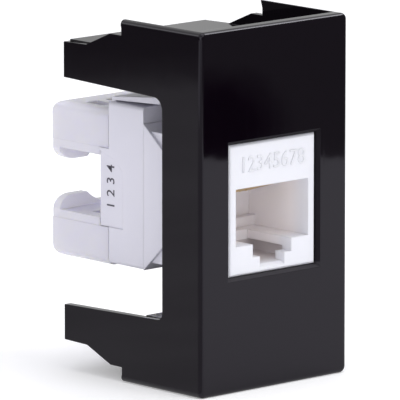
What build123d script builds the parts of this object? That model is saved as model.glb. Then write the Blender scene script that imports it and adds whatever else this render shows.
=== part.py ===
"""One-module RJ45 wall socket: a black snap-in cover that carries a white keystone jack with two wire caps.

Lengths are millimetres. Inside the script y is the depth behind the cover's front face, x runs across
and z is height above the cover's bottom edge. The finished pieces are moved along y alone, so that the
origin lies under the middle of the whole module.
"""
import os
from math import cos, radians, sin

from build123d import *

# Moulded cover: front plate, two side walls and the webs between them
cover_width = 24.0
cover_height = 44.0
cover_corner_radius = 0.8
cover_edge_radius = 0.5
plate_thickness = 1.5
wall_thickness = 0.95
arm_depth = 24.25
hook_depth = 14.25
hook_undercut = 0.3
hook_height = 1.84
ramp_start = 15.95
ramp_end = 20.2
ramp_drop = 3.65
arm_tip_drop = 3.75
arm_inner_tip = 8.08
arm_inner_root = 8.6
side_cut_front = 6.74
upper_cut_radius = 1.5
lower_cut_radius = 0.9
web_thickness = 0.95
web_rise = 0.1
shelf_depth = 10.6
collar_thickness = 1.1
collar_depth = 6.0
window_edge = 0.35

# Jack front: face, plug port and the tab notch under it
face_width = 14.25
face_height = 16.0
face_clearance = 0.06
face_recess = 0.4
face_edge = 0.3
port_width = 11.84
port_top = 2.55
port_ledge = -4.4
port_depth = 10.4
port_block_depth = 1.1
port_block_height = 1.2
lip_thickness = 1.6
ledge_gap = 6.3
step_floor = -6.0
notch_width = 4.0
notch_floor = -7.05
notch_bevel = 0.6
recess_width = 8.6
recess_roof = -5.5
recess_depth = 8.1

# Flared rear flange of the jack and the connecting block behind it
body_width = 15.0
flange_front = 11.0
flange_rear = 15.0
flange_low_rear = -9.25
flange_low_front = -5.4
flange_high_rear = 8.65
flange_high_front = 5.3
block_rear = 21.2
block_top = 10.6
block_edge = 0.5
bridge_rear = 22.85
bridge_half = 4.8
panel_front = 18.7
panel_recess = 0.15
panel_corner = 2.6
latch_slit_root = 0.2
latch_slit_mouth = 0.6
latch_root_depth = 20.5
latch_root_thickness = 0.35
latch_thickness = 0.85
latch_width = 14.0
latch_front = 12.6
latch_tooth_width = 8.0
latch_tooth_front = 10.75
latch_tooth_rear = 12.1
latch_tooth_lead = 0.3
latch_tooth_overlap = 0.7
divider_length = 2.2
divider_thickness = 0.8
divider_half = 1.9

# Line of the wires: the caps and their rows lie above and below it
wire_axis_rise = 0.2
row_height = 6.2
row_pitch = 3.2
row_count = 4
tower_width = 12.8
tower_low = 4.95
tower_high = 8.45
tower_rear = 29.6
wire_slot_width = 1.1
wire_slot_front = 22.9

# Wire caps: one above and one below the cable gap
cap_rear = 31.4
cap_web = 3.85
cap_lip = 2.2
cap_lip_corner = 2.4
cap_high = 9.55
cap_clearance = 0.1
cap_wall = 0.85
cap_rear_wall = 1.2
cap_rear_radius = 1.5
cap_side_radius = 1.0
cap_band_inset = 0.08
saddle_radius = 4.0
saddle_offset = 0.55
cap_notch_depth = 3.6
cap_notch_width = 1.3
window_front = 24.2
window_rear = 27.3
window_width = 2.0

# Circuit board, contact block and contacts
board_thickness = 1.6
board_width = 12.6
board_height = 14.4
board_clearance = 0.05
board_hole_radius = 0.55
carrier_width = 11.0
carrier_clearance = 0.1
carrier_front = 2.2
carrier_floor = 3.25
carrier_roof = 6.6
carrier_nose = 2.1
carrier_relief = 4.1
carrier_relief_rear = 11.0
contact_pitch = 1.02
contact_count = 8
contact_diameter = 0.45
contact_root_depth = 3.1
contact_root_top = 4.6
contact_bend_height = 2.15
contact_bend_radius = 0.6
contact_slope = 17.2
contact_length = 6.1
contact_swing = 0.25
contact_slot_width = 0.6
contact_slot_rear = 10.2
fork_thickness = 0.4
fork_width = 2.5
fork_front = 18.0
fork_rear = 28.6
fork_slit_width = 0.45
fork_slit_depth = 5.2
fork_mouth_width = 1.3
fork_mouth_depth = 0.9
fork_clearance = 0.1
leg_width = 0.7
leg_front = 14.3

# Places worked out from the sizes above
half_width = cover_width / 2
inner_half = half_width - wall_thickness
jack_axis = cover_height / 2
wire_axis = jack_axis + wire_axis_rise
module_depth = cap_rear
body_half = body_width / 2
row_places = [(i - (row_count - 1) / 2) * row_pitch for i in range(row_count)]
contact_places = [(i - (contact_count - 1) / 2) * contact_pitch for i in range(contact_count)]


def slab(x, y, z):
    """Block between the two ends given for each direction."""
    size = [high - low for low, high in (x, y, z)]
    middle = [(high + low) / 2 for low, high in (x, y, z)]
    return Pos(*middle) * Box(*size)


def side_prism(points, half):
    """Outline drawn in depth and height, carried the same way to both sides of the middle."""
    outline = Plane.YZ * make_face(Polyline(*points, close=True))
    return extrude(outline, amount=half, both=True)


def front_prism(points, depth_from, depth_to):
    """Outline drawn in width and height, carried back from one depth to another."""
    outline = make_face(Polyline(*[(x, depth_from, z) for x, z in points], close=True))
    return extrude(outline, amount=depth_to - depth_from, dir=(0, 1, 0))


def side_outline():
    """Upper half of the side wall's outline: hook, shoulder, ramp, arm and the cut between the arms."""
    top = cover_height
    return [
        (0, top), (hook_depth, top), (hook_depth - hook_undercut, top - hook_height / 2),
        (hook_depth - hook_undercut, top - hook_height), (ramp_start, top - hook_height),
        (ramp_end, top - ramp_drop), (arm_depth, top - arm_tip_drop), (arm_depth, top - arm_inner_tip),
        (side_cut_front, top - arm_inner_root),
    ]


def build_cover():
    """Front plate with its side walls, webs, shelves and the collar that holds the jack."""
    upper = side_outline()
    lower = [(y, cover_height - z) for y, z in reversed(upper)]
    outline = Plane.YZ * make_face(Polyline(*upper, *lower, close=True))
    for radius, side in ((upper_cut_radius, 1), (lower_cut_radius, -1)):
        corner = outline.vertices().filter_by(
            lambda v: abs(v.Y - side_cut_front) < 0.01 and (v.Z - jack_axis) * side > 0)
        outline = fillet(corner, radius)
    walls = extrude(outline, amount=half_width, both=True)

    front = Plane.XZ * RectangleRounded(cover_width, cover_height, cover_corner_radius)
    envelope = Pos(0, 0, jack_axis) * extrude(front, amount=-arm_depth)
    shell = walls & envelope
    front_edges = shell.edges().filter_by(lambda e: e.center().Y < 0.001)
    shell = fillet(front_edges, cover_edge_radius)

    across = (-inner_half, inner_half)
    shell -= slab(across, (plate_thickness, arm_depth + 1), (-1, cover_height + 1))
    web_top = cover_height - ramp_drop + web_rise
    shelf_low = cover_height - arm_inner_root
    for level, depth in ((web_top - web_thickness, arm_depth - web_rise), (shelf_low, shelf_depth)):
        upper_plate = slab(across, (plate_thickness, depth), (level, level + web_thickness))
        shell += upper_plate
        shell += mirror(upper_plate, Plane.XY.offset(jack_axis))

    opening_half = face_width / 2 + face_clearance
    opening_high = face_height / 2 + face_clearance
    outer, high = opening_half + collar_thickness, opening_high + collar_thickness
    shell += slab((-outer, outer), (plate_thickness, collar_depth), (jack_axis - high, jack_axis + high))
    window = slab((-opening_half, opening_half), (-1, collar_depth + 1),
                  (jack_axis - opening_high, jack_axis + opening_high))
    shell -= window
    rim = shell.edges().filter_by(
        lambda e: e.center().Y < 0.001 and abs(e.center().X) < opening_half + 0.1
        and abs(e.center().Z - jack_axis) < opening_high + 0.1)
    return chamfer(rim, window_edge)


def port_cutter():
    """Plug port, its stepped lip, the recess behind the lip and the chamber over the port."""
    half, gap, notch = port_width / 2, ledge_gap / 2, notch_width / 2
    lip_rear = face_recess + lip_thickness
    heights = [jack_axis + h for h in (port_top, port_ledge, step_floor, notch_floor)]
    top, ledge, step, floor = heights
    right = [(half, top), (half, ledge), (gap, ledge), (gap, step), (notch, step), (notch, floor)]
    left = [(-x, z) for x, z in reversed(right)]
    lip = front_prism(right + left, 0, lip_rear + 0.01)

    port_rear = face_recess + port_depth
    port = slab((-half, half), (lip_rear, port_rear), (ledge, top))
    block_front = port_rear - port_block_depth
    port -= slab((-half, half), (block_front, port_rear), (ledge, ledge + port_block_height))
    throat = slab((-gap, gap), (lip_rear, recess_depth), (floor, ledge + 0.01))
    recess = slab((-recess_width / 2, recess_width / 2), (lip_rear, recess_depth),
                  (floor, jack_axis + recess_roof))
    bevel_foot = floor - notch_bevel
    bevel_top = floor + 0.01
    bevel = side_prism([(0, bevel_top), (face_recess + notch_bevel, bevel_top), (0, bevel_foot)], notch)
    return lip + port + throat + recess + bevel


def build_jack_housing():
    """White front of the jack with the plug port, and the flared flange at its rear."""
    face_half, face_high = face_width / 2, face_height / 2
    body = slab((-face_half, face_half), (face_recess, flange_rear),
                (jack_axis - face_high, jack_axis + face_high))
    face_rim = body.edges().filter_by(lambda e: e.center().Y < face_recess + 0.001)
    body = chamfer(face_rim, face_edge)
    flange = [(flange_rear, flange_low_rear), (flange_front, flange_low_front),
              (flange_front, flange_high_front), (flange_rear, flange_high_rear)]
    body += side_prism([(y, wire_axis + h) for y, h in flange], body_half)
    body -= port_cutter()

    chamber_half = carrier_width / 2 + carrier_clearance
    chamber_low = jack_axis + carrier_floor - carrier_clearance
    chamber_high = jack_axis + carrier_roof + carrier_clearance
    chamber = slab((-chamber_half, chamber_half), (carrier_front - carrier_clearance, flange_rear + 1),
                   (chamber_low, chamber_high))
    body -= chamber
    for x in contact_places:
        body -= slab((x - contact_slot_width / 2, x + contact_slot_width / 2),
                     (carrier_front - carrier_clearance, contact_slot_rear),
                     (jack_axis + port_top - 0.01, jack_axis + carrier_floor))
    for side in (-1, 1):
        middle = jack_axis + side * row_height + wire_axis_rise
        body -= slab((-tower_width / 2, tower_width / 2), (leg_front - 0.3, flange_rear + 1),
                     (middle - board_hole_radius, middle + board_hole_radius))
    return body


def latch_solid():
    """Spring tongue over the connecting block. Its tooth stands up behind the cover's upper shelf."""
    top = wire_axis + block_top
    root_low, low = top + latch_slit_root, top + latch_slit_mouth
    high = low + latch_thickness
    tongue = [(block_rear, root_low + latch_root_thickness), (latch_front, high), (latch_front, low),
              (latch_root_depth, root_low), (latch_root_depth, top - 1), (block_rear, top - 1)]
    tooth_top = cover_height - arm_inner_root + latch_tooth_overlap
    tooth = [(latch_front + 0.01, low), (latch_front + 0.01, high), (latch_tooth_rear, high),
             (latch_tooth_rear, tooth_top - latch_tooth_overlap),
             (latch_tooth_front + latch_tooth_lead, tooth_top), (latch_tooth_front, tooth_top),
             (latch_tooth_front, low)]
    return side_prism(tongue, latch_width / 2) + side_prism(tooth, latch_tooth_width / 2)


def row_tower(side):
    """Comb of posts that holds one row of insulation displacement contacts."""
    low, high = sorted((wire_axis + side * tower_low, wire_axis + side * tower_high))
    tower = slab((-tower_width / 2, tower_width / 2), (block_rear - 1, tower_rear), (low, high))
    rear_edges = tower.edges().filter_by(Axis.X).filter_by(lambda e: e.center().Y > tower_rear - 0.01)
    tower = chamfer(rear_edges, 0.5)
    for x in row_places:
        slot = (x - wire_slot_width / 2, x + wire_slot_width / 2)
        tower -= slab(slot, (wire_slot_front, tower_rear + 1), (low - 1, high + 1))
    return tower


def fork_slots(side):
    """Seats of one row of contacts: a wide slot from the rear and a narrow hole for each leg."""
    middle = wire_axis + side * row_height
    reach = fork_thickness / 2 + fork_clearance
    wide, narrow = fork_width / 2 + fork_clearance, leg_width / 2 + fork_clearance
    seats = []
    for x in row_places:
        seats.append(slab((x - wide, x + wide), (fork_front, tower_rear + 1),
                          (middle - reach, middle + reach)))
        seats.append(slab((x - narrow, x + narrow), (flange_rear, fork_front + 0.01),
                          (middle - reach, middle + reach)))
    return seats


def build_idc_housing():
    """Connecting block behind the jack: label bridge, latch, two contact towers and the board's pocket."""
    low, high = wire_axis + flange_low_rear, wire_axis + block_top
    block = slab((-body_half, body_half), (flange_rear, block_rear), (low, high))
    long_edges = block.edges().filter_by(Axis.Y)
    block = fillet(long_edges, block_edge)
    bridge_z = (wire_axis - bridge_half, wire_axis + bridge_half)
    block += slab((-body_half, body_half), (block_rear - 1, bridge_rear), bridge_z)
    block += latch_solid()
    block += row_tower(1) + row_tower(-1)
    for arms in ((divider_thickness / 2, divider_half), (divider_half, divider_thickness / 2)):
        block += slab((-arms[0], arms[0]), (bridge_rear - 0.5, bridge_rear + divider_length),
                      (wire_axis - arms[1], wire_axis + arms[1]))

    panel = [(bridge_rear + 1, -bridge_half), (panel_front, -bridge_half),
             (panel_front, bridge_half - panel_corner),
             (panel_front + panel_corner / 2, bridge_half - panel_corner / 2), (bridge_rear + 1, bridge_half)]
    for side in (-1, 1):
        recess = side_prism([(y, wire_axis + h) for y, h in panel], panel_recess / 2)
        block -= Pos(side * (body_half - panel_recess / 2), 0, 0) * recess

    pocket_half, pocket_high = board_width / 2 + board_clearance, board_height / 2 + board_clearance
    pocket_rear = flange_rear + board_thickness + 2 * board_clearance
    block -= slab((-pocket_half, pocket_half), (flange_rear - 1, pocket_rear),
                  (wire_axis - pocket_high, wire_axis + pocket_high))
    for side in (-1, 1):
        for seat in fork_slots(side):
            block -= seat
    return block


def build_circuit_board():
    """Upright board between the jack and the connecting block, drilled for the contact legs."""
    front = flange_rear + board_clearance
    board = slab((-board_width / 2, board_width / 2), (front, front + board_thickness),
                 (wire_axis - board_height / 2, wire_axis + board_height / 2))
    drill = extrude(Plane.XZ * Circle(board_hole_radius), amount=board_thickness + 1, both=True)
    for side in (-1, 1):
        for x in row_places:
            board -= Pos(x, front, wire_axis + side * row_height) * drill
    return board


def build_contact_carrier():
    """Moulded block over the port that holds the roots of the eight spring contacts."""
    half = carrier_width / 2
    low, high = jack_axis + carrier_floor, jack_axis + carrier_roof
    block = slab((-half, half), (carrier_front, flange_rear), (low, high))
    block -= slab((-half, half), (carrier_front + carrier_nose, carrier_relief_rear),
                  (low - 1, jack_axis + carrier_relief))
    block -= slab((-half, half), (leg_front - fork_clearance, flange_rear),
                  (wire_axis + row_height - fork_thickness, high))
    reach = contact_diameter / 2 + fork_clearance
    socket = (contact_root_depth - reach - contact_swing, contact_root_depth + reach)
    socket_roof = jack_axis + contact_root_top + fork_clearance
    for x in contact_places:
        block -= slab((x - reach, x + reach), socket, (low - 1, socket_roof))
    return block


def build_spring_contact(x):
    """Gilt wire: a short upright root, one bend, and a long finger that slopes back into the port."""
    top = (contact_root_depth, jack_axis + contact_root_top)
    bend = (contact_root_depth, jack_axis + contact_bend_height)
    slope = radians(contact_slope)
    tip = (bend[0] + contact_length * cos(slope), bend[1] - contact_length * sin(slope))
    points = [Vector(x, y, z) for y, z in (top, bend, tip)]
    path = FilletPolyline(*points, radius=contact_bend_radius)
    section = Plane(origin=points[0], z_dir=(0, 0, -1)) * Circle(contact_diameter / 2)
    return sweep(section, path=path)


def build_idc_contact(x, side):
    """Flat fork that cuts through a wire's jacket, with a narrow leg forward into the board."""
    half = fork_width / 2
    slit, mouth = fork_slit_width / 2, fork_mouth_width / 2
    slit_root = fork_rear - fork_slit_depth
    right = [(leg_width / 2, leg_front), (leg_width / 2, fork_front), (half, fork_front), (half, fork_rear),
             (mouth, fork_rear), (slit, fork_rear - fork_mouth_depth), (slit, slit_root)]
    left = [(-across, y) for across, y in reversed(right)]
    plate = extrude(make_face(Polyline(*right, *left, close=True)), amount=fork_thickness / 2, both=True)
    return Pos(x, 0, wire_axis + side * row_height) * plate


def build_wire_cap():
    """Clear cap over one row of contacts, drawn with the cable gap below it and a saddle in its rear lip."""
    start = bridge_rear + cap_clearance
    skirt_low = bridge_half + cap_clearance / 2
    front = block_rear + cap_clearance
    skirt = slab((-body_half, body_half), (front, cap_rear), (skirt_low, cap_high))
    long_top = skirt.edges().filter_by(Axis.Y).filter_by(lambda e: e.center().Z > cap_high - 0.01)
    rounded_along = fillet(long_top, cap_side_radius)
    rear_top = skirt.edges().filter_by(Axis.X).filter_by(
        lambda e: e.center().Y > cap_rear - 0.01 and e.center().Z > cap_high - 0.01)
    shell = rounded_along & fillet(rear_top, cap_rear_radius)

    band = body_half - cap_band_inset
    shell += slab((-band, band), (start, cap_rear), (cap_web, skirt_low + 0.01))
    corner = band - cap_lip_corner
    lip_front = cap_rear - cap_rear_wall
    shell += slab((-corner, corner), (lip_front, cap_rear), (cap_lip, cap_web + 0.01))
    rounding = extrude(Plane.XZ * Ellipse(cap_lip_corner, cap_web - cap_lip), amount=-cap_rear_wall)
    for side in (-1, 1):
        shell += Pos(side * corner, lip_front, cap_web) * rounding
    saddle = extrude(Plane.XZ * Circle(saddle_radius), amount=-cap_rear - 1)
    shell -= Pos(0, 0, -saddle_offset) * saddle

    cavity_half = tower_width / 2 + cap_clearance
    shell -= slab((-cavity_half, cavity_half), (block_rear - 1, cap_rear - cap_rear_wall),
                  (tower_low - cap_clearance, cap_high - cap_wall))
    for x in row_places:
        notch = (x - cap_notch_width / 2, x + cap_notch_width / 2)
        shell -= slab(notch, (start - 1, start + cap_notch_depth), (0, tower_low))
        window = (x - window_width / 2, x + window_width / 2)
        shell -= slab(window, (window_front, window_rear), (tower_high, cap_high + 1))
    return shell


def write(node, solid):
    """Move a finished piece so that the module's origin is under its middle, and write it."""
    placed = Pos(0, -module_depth / 2, 0) * solid
    placed.label = node
    export_step(placed, f"parts/{node}.step")


os.makedirs("parts", exist_ok=True)
write("module_cover", build_cover())
write("jack_housing", build_jack_housing())
write("idc_housing", build_idc_housing())
write("circuit_board", build_circuit_board())
write("contact_carrier", build_contact_carrier())
for number, place in enumerate(contact_places, 1):
    write(f"spring_contact_{number}", build_spring_contact(place))
fork_number = 1
for row_side in (1, -1):
    for place in row_places:
        write(f"idc_contact_{fork_number}", build_idc_contact(place, row_side))
        fork_number += 1
cap = build_wire_cap()
write("upper_wire_cap", Pos(0, 0, wire_axis) * cap)
write("lower_wire_cap", Pos(0, 0, wire_axis) * mirror(cap, Plane.XY))
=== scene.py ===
"""Dresses the wall socket module for a picture: finishes, printed and moulded numbers, studio and camera."""
import math

import bmesh
import bpy
from mathutils import Matrix, Vector


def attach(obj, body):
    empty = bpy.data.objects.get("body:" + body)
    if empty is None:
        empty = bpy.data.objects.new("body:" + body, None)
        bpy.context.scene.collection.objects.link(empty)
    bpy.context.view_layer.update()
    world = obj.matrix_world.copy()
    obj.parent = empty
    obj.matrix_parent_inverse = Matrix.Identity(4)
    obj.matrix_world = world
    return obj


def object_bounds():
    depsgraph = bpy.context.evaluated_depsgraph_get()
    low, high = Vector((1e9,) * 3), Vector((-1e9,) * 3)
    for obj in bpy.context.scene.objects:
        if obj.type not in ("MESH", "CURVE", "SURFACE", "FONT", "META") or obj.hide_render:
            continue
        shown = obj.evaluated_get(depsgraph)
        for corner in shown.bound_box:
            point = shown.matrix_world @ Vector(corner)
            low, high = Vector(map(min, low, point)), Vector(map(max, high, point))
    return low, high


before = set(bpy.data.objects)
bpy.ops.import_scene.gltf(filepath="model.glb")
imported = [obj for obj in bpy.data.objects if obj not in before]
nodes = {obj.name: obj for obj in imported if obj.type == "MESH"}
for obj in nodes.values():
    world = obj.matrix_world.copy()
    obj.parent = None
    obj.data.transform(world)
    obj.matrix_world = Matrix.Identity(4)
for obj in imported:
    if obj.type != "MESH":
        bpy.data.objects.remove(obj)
cad_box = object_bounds()

# A millimetre in metres, the centimetres in a metre, and the module's depth in millimetres
MM = 0.001
CENTIMETRES = 100.0
MODULE_DEPTH = round((cad_box[1].y - cad_box[0].y) / MM, 1)
CONTACT_NUMBERS = range(1, 9)

# The photograph's camera, found from the cover's corners: turn, rise and field of view in degrees, then in
# millimetres its distance, the point that it looks at, and how far that point slides to the right and up
CAMERA_AZIMUTH = -42.71
CAMERA_ELEVATION = 10.403
CAMERA_FIELD = 3.310
CAMERA_DISTANCE = 834.0
CAMERA_CENTRE = (0.0, 12.0, 22.0)
CAMERA_SLIDE = (-0.7445, -0.9571)

# Lamps by name: place and width in metres, and power in watts. All are aimed at the module's middle
LAMPS = {"top_softbox": ((0.05, -0.10, 0.75), 0.5, 1.6),
         "left_softbox": ((-0.64, -0.47, 0.26), 0.6, 1.12),
         "front_softbox": ((0.10, -0.60, 0.52), 0.25, 0.66),
         "rear_softbox": ((-0.25, 0.70, 0.40), 0.4, 0.65),
         "right_softbox": ((0.55, -0.25, 0.50), 0.20, 0.9)}
LAMP_AIM = (0, 0, 0.022)

# Strength of the surroundings as light, half the floor's width in metres, and how strongly the floor glows
ROOM_LIGHT = 0.58
FLOOR_REACH = 2.5
FLOOR_GLOW = 0.25

# Glowing cards that only gloss mirrors, painted reflections: directions from the module, and places, sizes
# and distances in metres
CARD_HALF_WIDTH = 0.5
ROOM_HEIGHT = 0.16
FRONT_ROOM = (0.678, -0.735, 0)
FRONT_ROOM_DISTANCE = 0.1675
REAR_ROOM = (-0.667, 0.723, 0)
REAR_ROOM_DISTANCE = 0.215
FAR_WALL = (0.678, 0.735, 0)
FAR_WALL_DISTANCE = 0.30
FAR_WALL_HEIGHT = 0.22
TABLE_HEIGHT = 0.0004
TABLE_NEAR = -0.0125
TABLE_FAR = -0.20
TABLE_REACH = 0.25
# The edge strip glows though it is no lamp: it paints the highlight along the cover's top front edges
EDGE_STRIP = (0.60, -0.22, 0.56)
EDGE_STRIP_HALF_WIDTH = 0.24
EDGE_HIGHLIGHT_GLOW = 5.0

# The front room's dark oval, a painted dark reflection in the cover's front: where its middle is along X and
# Z in metres, and how many of its half widths and half heights go into a metre
DARK_MIDDLE = (0.1012, 0.0045)
DARK_OVAL = (161.0, 133.0)

# Darkest and lightest grey of the clouded cards, painted reflections and the painted edge highlight
FAR_WALL_GREYS = (0.56, 0.72)
TABLE_GREYS = (0.62, 0.74)
EDGE_STRIP_GREYS = (0.6, 1.0)

# Colours, as linear red, green and blue with an alpha of 1
SOFT_WHITE = (0.83, 0.835, 0.885, 1)
SOFT_WHITE_SHADE = (0.79, 0.80, 0.855, 1)
# The port's white is painted light: the face's plastic made lighter and warmer to stand in for the light in
# the port
PORT_PAINTED_LIGHT = (0.985, 0.94, 0.955, 1)
# The throat's white is painted shade: darker in the deep notch under the port's ledges
THROAT_PAINTED_SHADE = (0.69, 0.64, 0.645, 1)
REAR_WHITE = (0.74, 0.73, 0.815, 1)
REAR_WHITE_SHADE = (0.68, 0.67, 0.765, 1)
INSERT_WHITE = (0.70, 0.68, 0.70, 1)
INSERT_WHITE_SHADE = (0.64, 0.62, 0.65, 1)
COVER_BLACK = (0.0026, 0.0011, 0.0030, 1)
COVER_SHEEN = (0.90, 0.88, 1.0, 1)
COVER_DUST = (0.030, 0.028, 0.034, 1)
SILL_BLACK = (0.024, 0.022, 0.026, 1)
CAP_CLEAR = (0.90, 0.88, 1.0, 1)
CAP_CLEAR_SHADE = (0.87, 0.85, 0.99, 1)
GILT = (0.80, 0.56, 0.22, 1)
GILT_WORN = (0.92, 0.74, 0.42, 1)
TIN = (0.70, 0.70, 0.68, 1)
TIN_BLOOM = (0.56, 0.56, 0.56, 1)
BOARD_GREEN = (0.015, 0.12, 0.05, 1)
BOARD_TRACK = (0.05, 0.24, 0.09, 1)
PRINT_GREY = (0.055, 0.05, 0.075, 1)
PRINT_GREY_THIN = (0.11, 0.10, 0.13, 1)
FLOOR_PALE = (0.93, 0.93, 0.94, 1)
FLOOR_PALER = (0.95, 0.95, 0.96, 1)
ROOM_WHITE = (0.96, 0.96, 1.0, 1)

# Where the finishes change, in millimetres. Heights are over the floor, depths are behind the front face, and
# the window's half height is from its middle
WINDOW_MIDDLE = 22.0
WINDOW_HALF_WIDTH = 7.54
WINDOW_HALF_HEIGHT = 8.42
SILL_HEIGHT = 14.2
PLATE_DEPTH = 1.4
PORT_HALF_WIDTH = 6.4
PORT_START = 1.0
PORT_FULL = 4.0
# Inside the port, below this height the colour is painted shade
THROAT_SHADE_HEIGHT = 16.45
FLANGE_DEPTH = 11.0

# Rows of numbers, in millimetres: size of the type, widening of its strokes and thickness of the piece, then
# where the middle of the row is
LABEL_LETTERS = (1.95, 0.004, 0.03)
LABEL_HALF_WIDTH = 7.36
LABEL_DEPTH = 20.95
LABEL_HEIGHT = 22.35
FACE_LETTERS = (2.7, 0.0, 0.12)
FACE_ROW_MIDDLE = (0, 0.37, 27.3)

# Radius, in millimetres, that the shading gives the edges left sharp in the solids
PLASTIC_EDGE = 0.12
FRONT_EDGE = 0.22
METAL_EDGE = 0.03

# Roughness of each finish where it is smoothest, and what the window's rim adds to the cover's
COVER_ROUGHNESS = 0.04
RIM_ROUGHNESS = 0.75
SATIN_ROUGHNESS = 0.34
CAP_ROUGHNESS = 0.16
GILT_ROUGHNESS = 0.20
TIN_ROUGHNESS = 0.28
BOARD_ROUGHNESS = 0.25
PRINT_ROUGHNESS = 0.45

# Sockets of the Mix node for colours, by number because their names repeat
MIX_FACTOR = 0
MIX_FIRST = 6
MIX_SECOND = 7
MIX_RESULT = 2


def spot(x, y, z):
    """Point in the frame, in metres, from width, depth behind the front face and height in millimetres."""
    return Vector((x * MM, (y - MODULE_DEPTH / 2) * MM, z * MM))


def grey(level):
    """Colour of one level, from 0 for black to 1 for white."""
    return (level, level, level, 1)


class Value:
    """A number that varies over a surface. An expression on it adds the Math nodes that work it out."""

    def __init__(self, finish, socket):
        self.finish = finish
        self.socket = socket

    def maths(self, operation, first, second):
        """Adds one Math node."""
        return self.finish.node("ShaderNodeMath", {"operation": operation}, {0: first, 1: second})

    def __add__(self, other):
        return self.maths("ADD", self, other)

    def __radd__(self, other):
        return self.maths("ADD", other, self)

    def __sub__(self, other):
        return self.maths("SUBTRACT", self, other)

    def __rsub__(self, other):
        return self.maths("SUBTRACT", other, self)

    def __mul__(self, other):
        return self.maths("MULTIPLY", self, other)

    def __rmul__(self, other):
        return self.maths("MULTIPLY", other, self)

    def __gt__(self, other):
        return self.maths("GREATER_THAN", self, other)

    def __lt__(self, other):
        return self.maths("LESS_THAN", self, other)

    def __abs__(self):
        return self.maths("ABSOLUTE", self, 0.0)


class Finish:
    """One material and the node tree that makes it."""

    def __init__(self, name):
        self.material = bpy.data.materials.new(name)
        self.take(self.material, "ShaderNodeOutputMaterial")

    def take(self, owner, kind):
        """Starts an empty node tree in a material or a world."""
        owner.use_nodes = True
        self.tree = owner.node_tree
        self.tree.nodes.clear()
        self.output = self.tree.nodes.new(kind)

    def node(self, kind, settings=None, inputs=None, output=0):
        """Adds a node: its settings first, then the values or links of its sockets."""
        made = self.tree.nodes.new(kind)
        for key, value in (settings or {}).items():
            if key == "stops":
                ramp = made.color_ramp
                while len(ramp.elements) < len(value):
                    ramp.elements.new(0.5)
                for element, (place, colour) in zip(ramp.elements, value):
                    element.position = place
                    element.color = colour
            else:
                setattr(made, key, value)
        for key, value in (inputs or {}).items():
            if isinstance(value, Value):
                self.tree.links.new(value.socket, made.inputs[key])
            else:
                made.inputs[key].default_value = value
        return Value(self, made.outputs[output])

    def place(self, stretch=(1, 1, 1)):
        """Object coordinates in metres, stretched."""
        where = self.node("ShaderNodeTexCoord", output="Object")
        return self.node("ShaderNodeMapping", {"vector_type": "POINT"}, {"Vector": where, "Scale": stretch})

    def noise(self, scale, detail=3.0, roughness=0.5, stretch=(1, 1, 1)):
        """Drifting patches, about as many to the metre as the scale says."""
        return self.node("ShaderNodeTexNoise", {"noise_dimensions": "3D"},
                         {"Vector": self.place(stretch), "Scale": scale, "Detail": detail,
                          "Roughness": roughness})

    def ramp(self, value, stops):
        """Turns a value into a colour by its stops."""
        return self.node("ShaderNodeValToRGB", {"stops": stops}, {"Fac": value})

    def blend(self, factor, first, second):
        """Mixes two colours."""
        return self.node("ShaderNodeMix", {"data_type": "RGBA", "clamp_factor": True},
                         {MIX_FACTOR: factor, MIX_FIRST: first, MIX_SECOND: second}, MIX_RESULT)

    def bump(self, height, strength, distance, edge):
        """Surface relief over edges that are rounded off: its depth and their radius are in millimetres."""
        rounded = self.node("ShaderNodeBevel", {"samples": 6}, {"Radius": edge * MM})
        return self.node("ShaderNodeBump", inputs={"Height": height, "Strength": strength,
                                                   "Distance": distance * MM, "Normal": rounded})

    def along(self, axis):
        """Distance along one axis of the frame, in metres."""
        return self.node("ShaderNodeSeparateXYZ", inputs={"Vector": self.place()}, output=axis)

    def depth(self, start, end):
        """Rises from 0 to 1 between two depths behind the front face, in millimetres."""
        low, high = spot(0, start, 0).y, spot(0, end, 0).y
        return self.node("ShaderNodeMapRange", {"clamp": True, "interpolation_type": "SMOOTHSTEP"},
                         {"Value": self.along("Y"), "From Min": low, "From Max": high})

    def show(self, shader):
        """Makes a shader the one that is seen."""
        self.tree.links.new(shader.socket, self.output.inputs["Surface"])

    def surface(self, **sockets):
        """The shader itself, with the names of its sockets written with underscores."""
        inputs = {name.replace("_", " "): value for name, value in sockets.items()}
        self.show(self.node("ShaderNodeBsdfPrincipled", inputs=inputs))
        return self.material


class Surroundings(Finish):
    """The world's own node tree."""

    def __init__(self, name):
        world = bpy.data.worlds.new(name)
        bpy.context.scene.world = world
        self.take(world, "ShaderNodeOutputWorld")


def polished_black():
    """Black moulded cover: deep gloss with a faint ripple, dust and hair scratches, and a matt window rim."""
    finish = Finish("polished_black")
    ripple = finish.noise(scale=140, detail=2.0)
    dust = finish.noise(scale=2600, detail=4.0, roughness=0.6)
    scratches = finish.noise(scale=900, detail=2.0, stretch=(1.0, 1.0, 0.05)) > 0.62
    specks = finish.ramp(dust, [(0.66, grey(0)), (0.76, grey(1))])
    dusty = finish.blend(specks * 0.08, COVER_BLACK, COVER_DUST)
    beside = abs(finish.along("X")) < WINDOW_HALF_WIDTH * MM
    level = abs(finish.along("Z") - WINDOW_MIDDLE * MM) < WINDOW_HALF_HEIGHT * MM
    rim = beside * level * (finish.along("Y") < spot(0, PLATE_DEPTH, 0).y)
    sill = rim * (finish.along("Z") < SILL_HEIGHT * MM)
    colour = finish.blend(sill, dusty, SILL_BLACK)
    roughness = COVER_ROUGHNESS + specks * 0.08 + scratches * 0.02 + rim * RIM_ROUGHNESS
    normal = finish.bump(ripple, strength=0.03, distance=0.4, edge=PLASTIC_EDGE)
    return finish.surface(Base_Color=colour, Roughness=roughness, Normal=normal, IOR=1.36,
                          Specular_Tint=COVER_SHEEN)


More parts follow.
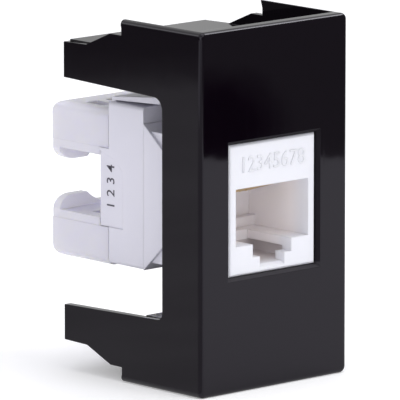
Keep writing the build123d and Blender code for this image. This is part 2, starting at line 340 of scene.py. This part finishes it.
def satin(finish, tint, shade, edge=PLASTIC_EDGE):
    """White moulded plastic: fine spark texture, soft mottling and a satin sheen."""
    cloud = finish.noise(scale=220)
    spark = finish.noise(scale=9000, detail=2.0, roughness=0.6)
    colour = finish.blend(cloud * 0.5, tint, shade)
    roughness = SATIN_ROUGHNESS + spark * 0.12
    normal = finish.bump(spark, strength=0.12, distance=0.04, edge=edge)
    return finish.surface(Base_Color=colour, Roughness=roughness, Normal=normal, IOR=1.47,
                          Subsurface_Weight=0.08, Subsurface_Radius=(0.8, 0.8, 1.0), Subsurface_Scale=0.001)


def front_white(name):
    """Cool white face, painted light inside the port, painted shade in its throat, duller at the flange."""
    finish = Finish(name)
    inside = finish.depth(PORT_START, PORT_FULL) * (abs(finish.along("X")) < PORT_HALF_WIDTH * MM)
    behind = finish.along("Y") > spot(0, FLANGE_DEPTH, 0).y
    # Painted light inside the port, and painted shade in its throat below the throat's height
    port_light_and_shade = finish.blend(finish.along("Z") < THROAT_SHADE_HEIGHT * MM, PORT_PAINTED_LIGHT, THROAT_PAINTED_SHADE)
    tint = finish.blend(behind, finish.blend(inside, SOFT_WHITE, port_light_and_shade), REAR_WHITE)
    shade = finish.blend(behind, finish.blend(inside, SOFT_WHITE_SHADE, port_light_and_shade), REAR_WHITE_SHADE)
    return satin(finish, tint, shade, FRONT_EDGE)


def milky_clear():
    """Slightly milky clear plastic of the wire caps."""
    finish = Finish("milky_clear")
    cloud = finish.noise(scale=260)
    flow = finish.noise(scale=700, roughness=0.6, stretch=(0.3, 1.0, 1.0))
    colour = finish.blend(cloud * 0.5, CAP_CLEAR, CAP_CLEAR_SHADE)
    roughness = CAP_ROUGHNESS + flow * 0.12
    normal = finish.bump(flow, strength=0.10, distance=0.2, edge=PLASTIC_EDGE)
    return finish.surface(Base_Color=colour, Roughness=roughness, Normal=normal, IOR=1.49,
                          Transmission_Weight=0.2, Subsurface_Weight=0.6,
                          Subsurface_Radius=(1.0, 1.0, 0.7), Subsurface_Scale=0.0018)


def gilt_wire():
    """Thin gold plating with fine draw marks, paler where it is worn."""
    finish = Finish("gilt_wire")
    marks = finish.noise(scale=6000, roughness=0.6, stretch=(1.0, 0.08, 0.3))
    wear = finish.noise(scale=1200, detail=2.0)
    colour = finish.blend(wear, GILT, GILT_WORN)
    roughness = GILT_ROUGHNESS + marks * 0.16
    normal = finish.bump(marks, strength=0.15, distance=0.02, edge=METAL_EDGE)
    return finish.surface(Base_Color=colour, Roughness=roughness, Normal=normal, Metallic=1.0)


def tinned_sheet():
    """Dull tin over stamped sheet, with drag lines from the press."""
    finish = Finish("tinned_sheet")
    lines = finish.noise(scale=5000, roughness=0.6, stretch=(0.1, 1.0, 1.0))
    bloom = finish.noise(scale=900)
    colour = finish.blend(bloom, TIN, TIN_BLOOM)
    roughness = TIN_ROUGHNESS + lines * 0.2
    normal = finish.bump(lines, strength=0.2, distance=0.03, edge=METAL_EDGE)
    return finish.surface(Base_Color=colour, Roughness=roughness, Normal=normal, Metallic=1.0)


def green_laminate():
    """Green lacquered circuit board with faint copper lines under the lacquer."""
    finish = Finish("green_laminate")
    weave = finish.noise(scale=5000, detail=2.0)
    bands = finish.node("ShaderNodeTexWave", {"wave_type": "BANDS", "bands_direction": "X"},
                        {"Vector": finish.place(), "Scale": 260.0, "Distortion": 1.5, "Detail": 1.0}, "Fac")
    tracks = bands > 0.72
    colour = finish.blend(tracks * 0.6, BOARD_GREEN, BOARD_TRACK)
    roughness = BOARD_ROUGHNESS + weave * 0.15
    normal = finish.bump(weave, strength=0.2, distance=0.03, edge=METAL_EDGE)
    return finish.surface(Base_Color=colour, Roughness=roughness, Normal=normal, IOR=1.5)


def printing_ink():
    """Dark grey pad print that lies thinner in places."""
    finish = Finish("printing_ink")
    grain = finish.noise(scale=4000)
    colour = finish.blend(grain, PRINT_GREY, PRINT_GREY_THIN)
    return finish.surface(Base_Color=colour, Roughness=PRINT_ROUGHNESS + grain * 0.2, IOR=1.45)


def dress_solids():
    """Every carried-over solid gets its finish."""
    cap = milky_clear()
    finishes = {"module_cover": polished_black(),
                "jack_housing": front_white("front_white"),
                "idc_housing": satin(Finish("rear_white"), REAR_WHITE, REAR_WHITE_SHADE),
                "contact_carrier": satin(Finish("insert_white"), INSERT_WHITE, INSERT_WHITE_SHADE),
                "circuit_board": green_laminate(),
                "upper_wire_cap": cap,
                "lower_wire_cap": cap}
    gilt, tin = gilt_wire(), tinned_sheet()
    finishes.update({f"spring_contact_{number}": gilt for number in CONTACT_NUMBERS})
    finishes.update({f"idc_contact_{number}": tin for number in CONTACT_NUMBERS})
    for node, material in finishes.items():
        slots = nodes[node].data.materials
        slots.clear()
        slots.append(material)


def written(name, text, letters, middle, across, upwards, body, material):
    """Plain numbers as one thin raised piece, centred on a point, reading along one direction."""
    size, widening, thickness = letters
    curve = bpy.data.curves.new(name, "FONT")
    curve.body = text
    curve.size = size * MM
    curve.offset = widening * MM
    curve.extrude = thickness * MM / 2
    curve.align_x = "CENTER"
    curve.align_y = "CENTER"
    curve.resolution_u = 4
    source = bpy.data.objects.new(name + "_outline", curve)
    bpy.context.scene.collection.objects.link(source)
    bpy.context.view_layer.update()
    mesh = bpy.data.meshes.new_from_object(source)
    bpy.data.objects.remove(source)
    away = Vector(across).cross(Vector(upwards))
    turn = Matrix((across, upwards, away)).transposed().to_4x4()
    mesh.transform(Matrix.Translation(middle) @ turn)
    mesh.materials.clear()
    mesh.materials.append(material)
    piece = bpy.data.objects.new(name, mesh)
    bpy.context.scene.collection.objects.link(piece)
    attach(piece, body)


def add_marks():
    """Plain numbers: printed on both label panels and raised on the jack's face over the port."""
    ink = printing_ink()
    for side, hand in ((-1, "left"), (1, "right")):
        across = (0, 0, -side)
        upwards = Vector((side, 0, 0)).cross(Vector(across))
        middle = spot(side * LABEL_HALF_WIDTH, LABEL_DEPTH, LABEL_HEIGHT)
        written(f"label_numbers_{hand}", "1 2 3 4", LABEL_LETTERS, middle, across, upwards, "module", ink)
    written("face_numbers", "12345678", FACE_LETTERS, spot(*FACE_ROW_MIDDLE), (1, 0, 0), (0, 0, 1), "module",
            front_white("mark_white"))


def add_world():
    """White surroundings: full white to the camera, in gloss and through clear plastic, dimmer as light."""
    room = Surroundings("white_room")
    camera, gloss, through = (room.node("ShaderNodeLightPath", output=name)
                              for name in ("Is Camera Ray", "Is Glossy Ray", "Is Transmission Ray"))
    dim = room.node("ShaderNodeBackground", inputs={"Color": ROOM_WHITE, "Strength": ROOM_LIGHT})
    bright = room.node("ShaderNodeBackground", inputs={"Color": grey(1), "Strength": 1.0})
    room.show(room.node("ShaderNodeMixShader", inputs={0: camera + gloss + through, 1: dim, 2: bright}))


def add_plane(name, corners, material):
    """One flat stage piece through four corners."""
    made = bmesh.new()
    made.faces.new([made.verts.new(corner) for corner in corners])
    mesh = bpy.data.meshes.new(name)
    made.to_mesh(mesh)
    made.free()
    mesh.materials.append(material)
    piece = bpy.data.objects.new(name, mesh)
    bpy.context.scene.collection.objects.link(piece)
    return piece


def level_corners(x_low, x_high, y_reach, height):
    """Corners of a level rectangle, as far to the front as to the rear."""
    return [(x_low, -y_reach, height), (x_high, -y_reach, height), (x_high, y_reach, height),
            (x_low, y_reach, height)]


def add_floor():
    """Pale floor that keeps a faint shadow."""
    finish = Finish("pale_floor")
    grain = finish.noise(scale=40)
    colour = finish.blend(grain, FLOOR_PALE, FLOOR_PALER)
    finish.surface(Base_Color=colour, Roughness=0.9, Specular_IOR_Level=0.0,
                   Emission_Color=grey(1), Emission_Strength=FLOOR_GLOW)
    add_plane("floor", level_corners(-FLOOR_REACH, FLOOR_REACH, FLOOR_REACH, 0), finish.material)


def clouded(finish, greys):
    """Grey that drifts between two levels."""
    dark, light = greys
    drift = finish.noise(scale=40, detail=2.0)
    return finish.ramp(drift, [(0.35, grey(dark)), (0.65, grey(light))])


def dark_reflection_oval(finish):
    """Painted dark reflection: black in the middle of an oval, and dark grey all round it."""
    across = (finish.along("X") - DARK_MIDDLE[0]) * DARK_OVAL[0]
    rise = (finish.along("Z") - DARK_MIDDLE[1]) * DARK_OVAL[1]
    drift = (finish.noise(scale=150, detail=2.0) - 0.5) * 0.5
    away = (across * across + rise * rise) * 0.5
    return finish.ramp(away + drift, [(0.15, grey(0)), (0.80, grey(0.22))])


def fading_upwards(finish):
    """Painted reflection: pale grey at the foot that falls to dark grey within a centimetre."""
    drift = (finish.noise(scale=60, detail=2.0) - 0.5) * 0.06
    return finish.ramp(finish.along("Z") * CENTIMETRES + drift,
                       [(0.0, grey(0.66)), (0.13, grey(0.48)), (0.33, grey(0.26)), (0.65, grey(0.16))])


def add_card(name, corners, level, strength=1.0):
    """Flat glowing card that only gloss can see: a painted reflection. The level function gives its grey."""
    finish = Finish(name)
    finish.surface(Base_Color=grey(0), Roughness=1.0, Specular_IOR_Level=0.0, Emission_Strength=strength,
                   Emission_Color=level(finish))
    card = add_plane(name, corners, finish.material)
    card.visible_camera = False
    card.visible_diffuse = False
    card.visible_transmission = False
    card.visible_volume_scatter = False
    card.visible_shadow = False


def standing(direction, distance, half, height):
    """Corners of an upright card that faces the module from a direction, standing on the floor."""
    toward = Vector(direction).normalized()
    along = toward.cross(Vector((0, 0, 1))) * half
    foot = toward * distance
    top = Vector((0, 0, height))
    return [foot - along, foot + along, foot + along + top, foot - along + top]


def facing(centre, half):
    """Corners of a square card that faces the module's foot from a point."""
    middle = Vector(centre)
    toward = middle.normalized()
    along = toward.cross(Vector((0, 0, 1))).normalized() * half
    rise = along.cross(toward)
    return [middle - along - rise, middle + along - rise, middle + along + rise, middle - along + rise]


def add_cards():
    """Painted reflections: dark rooms, a pale wall and a table, and the top edges' highlight, seen only in
    gloss.
    """
    add_card("far_wall_reflection", standing(FAR_WALL, FAR_WALL_DISTANCE, CARD_HALF_WIDTH, FAR_WALL_HEIGHT),
             lambda finish: clouded(finish, FAR_WALL_GREYS))
    add_card("front_room_reflection", standing(FRONT_ROOM, FRONT_ROOM_DISTANCE, CARD_HALF_WIDTH, ROOM_HEIGHT),
             dark_reflection_oval)
    add_card("rear_room_reflection", standing(REAR_ROOM, REAR_ROOM_DISTANCE, CARD_HALF_WIDTH, ROOM_HEIGHT),
             fading_upwards)
    add_card("rear_table_reflection", level_corners(TABLE_FAR, TABLE_NEAR, TABLE_REACH, TABLE_HEIGHT),
             lambda finish: clouded(finish, TABLE_GREYS))
    # A glowing card, no lamp, that paints the highlight along the cover's top edges
    add_card("edge_strip_highlight", facing(EDGE_STRIP, EDGE_STRIP_HALF_WIDTH),
             lambda finish: clouded(finish, EDGE_STRIP_GREYS), EDGE_HIGHLIGHT_GLOW)


def add_lamps():
    """Square soft lights aimed at the module."""
    for name, (place, width, power) in LAMPS.items():
        light = bpy.data.lights.new(name, "AREA")
        light.size = width
        light.energy = power
        lamp = bpy.data.objects.new(name, light)
        lamp.location = place
        lamp.rotation_mode = "QUATERNION"
        lamp.rotation_quaternion = (Vector(LAMP_AIM) - Vector(place)).to_track_quat("-Z", "Y")
        bpy.context.scene.collection.objects.link(lamp)


def add_camera():
    """The photograph's view."""
    turn, lift = math.radians(CAMERA_AZIMUTH), math.radians(CAMERA_ELEVATION)
    back = Vector((math.sin(turn) * math.cos(lift), -math.cos(turn) * math.cos(lift), math.sin(lift)))
    right = Vector((math.cos(turn), math.sin(turn), 0))
    up = back.cross(right)
    slide_right, slide_up = CAMERA_SLIDE
    target = spot(*CAMERA_CENTRE) + (right * slide_right + up * slide_up) * MM
    data = bpy.data.cameras.new("photo_camera")
    data.sensor_width = 36
    data.angle = math.radians(CAMERA_FIELD)
    data.clip_start = 0.05
    data.clip_end = 20
    camera = bpy.data.objects.new("photo_camera", data)
    camera.location = target + back * CAMERA_DISTANCE * MM
    camera.rotation_mode = "QUATERNION"
    camera.rotation_quaternion = back.to_track_quat("Z", "Y")
    bpy.context.scene.collection.objects.link(camera)
    bpy.context.scene.camera = camera


dress_solids()
add_marks()
add_world()
add_floor()
add_cards()
add_lamps()
add_camera()
bpy.context.scene.view_settings.view_transform = "Standard"
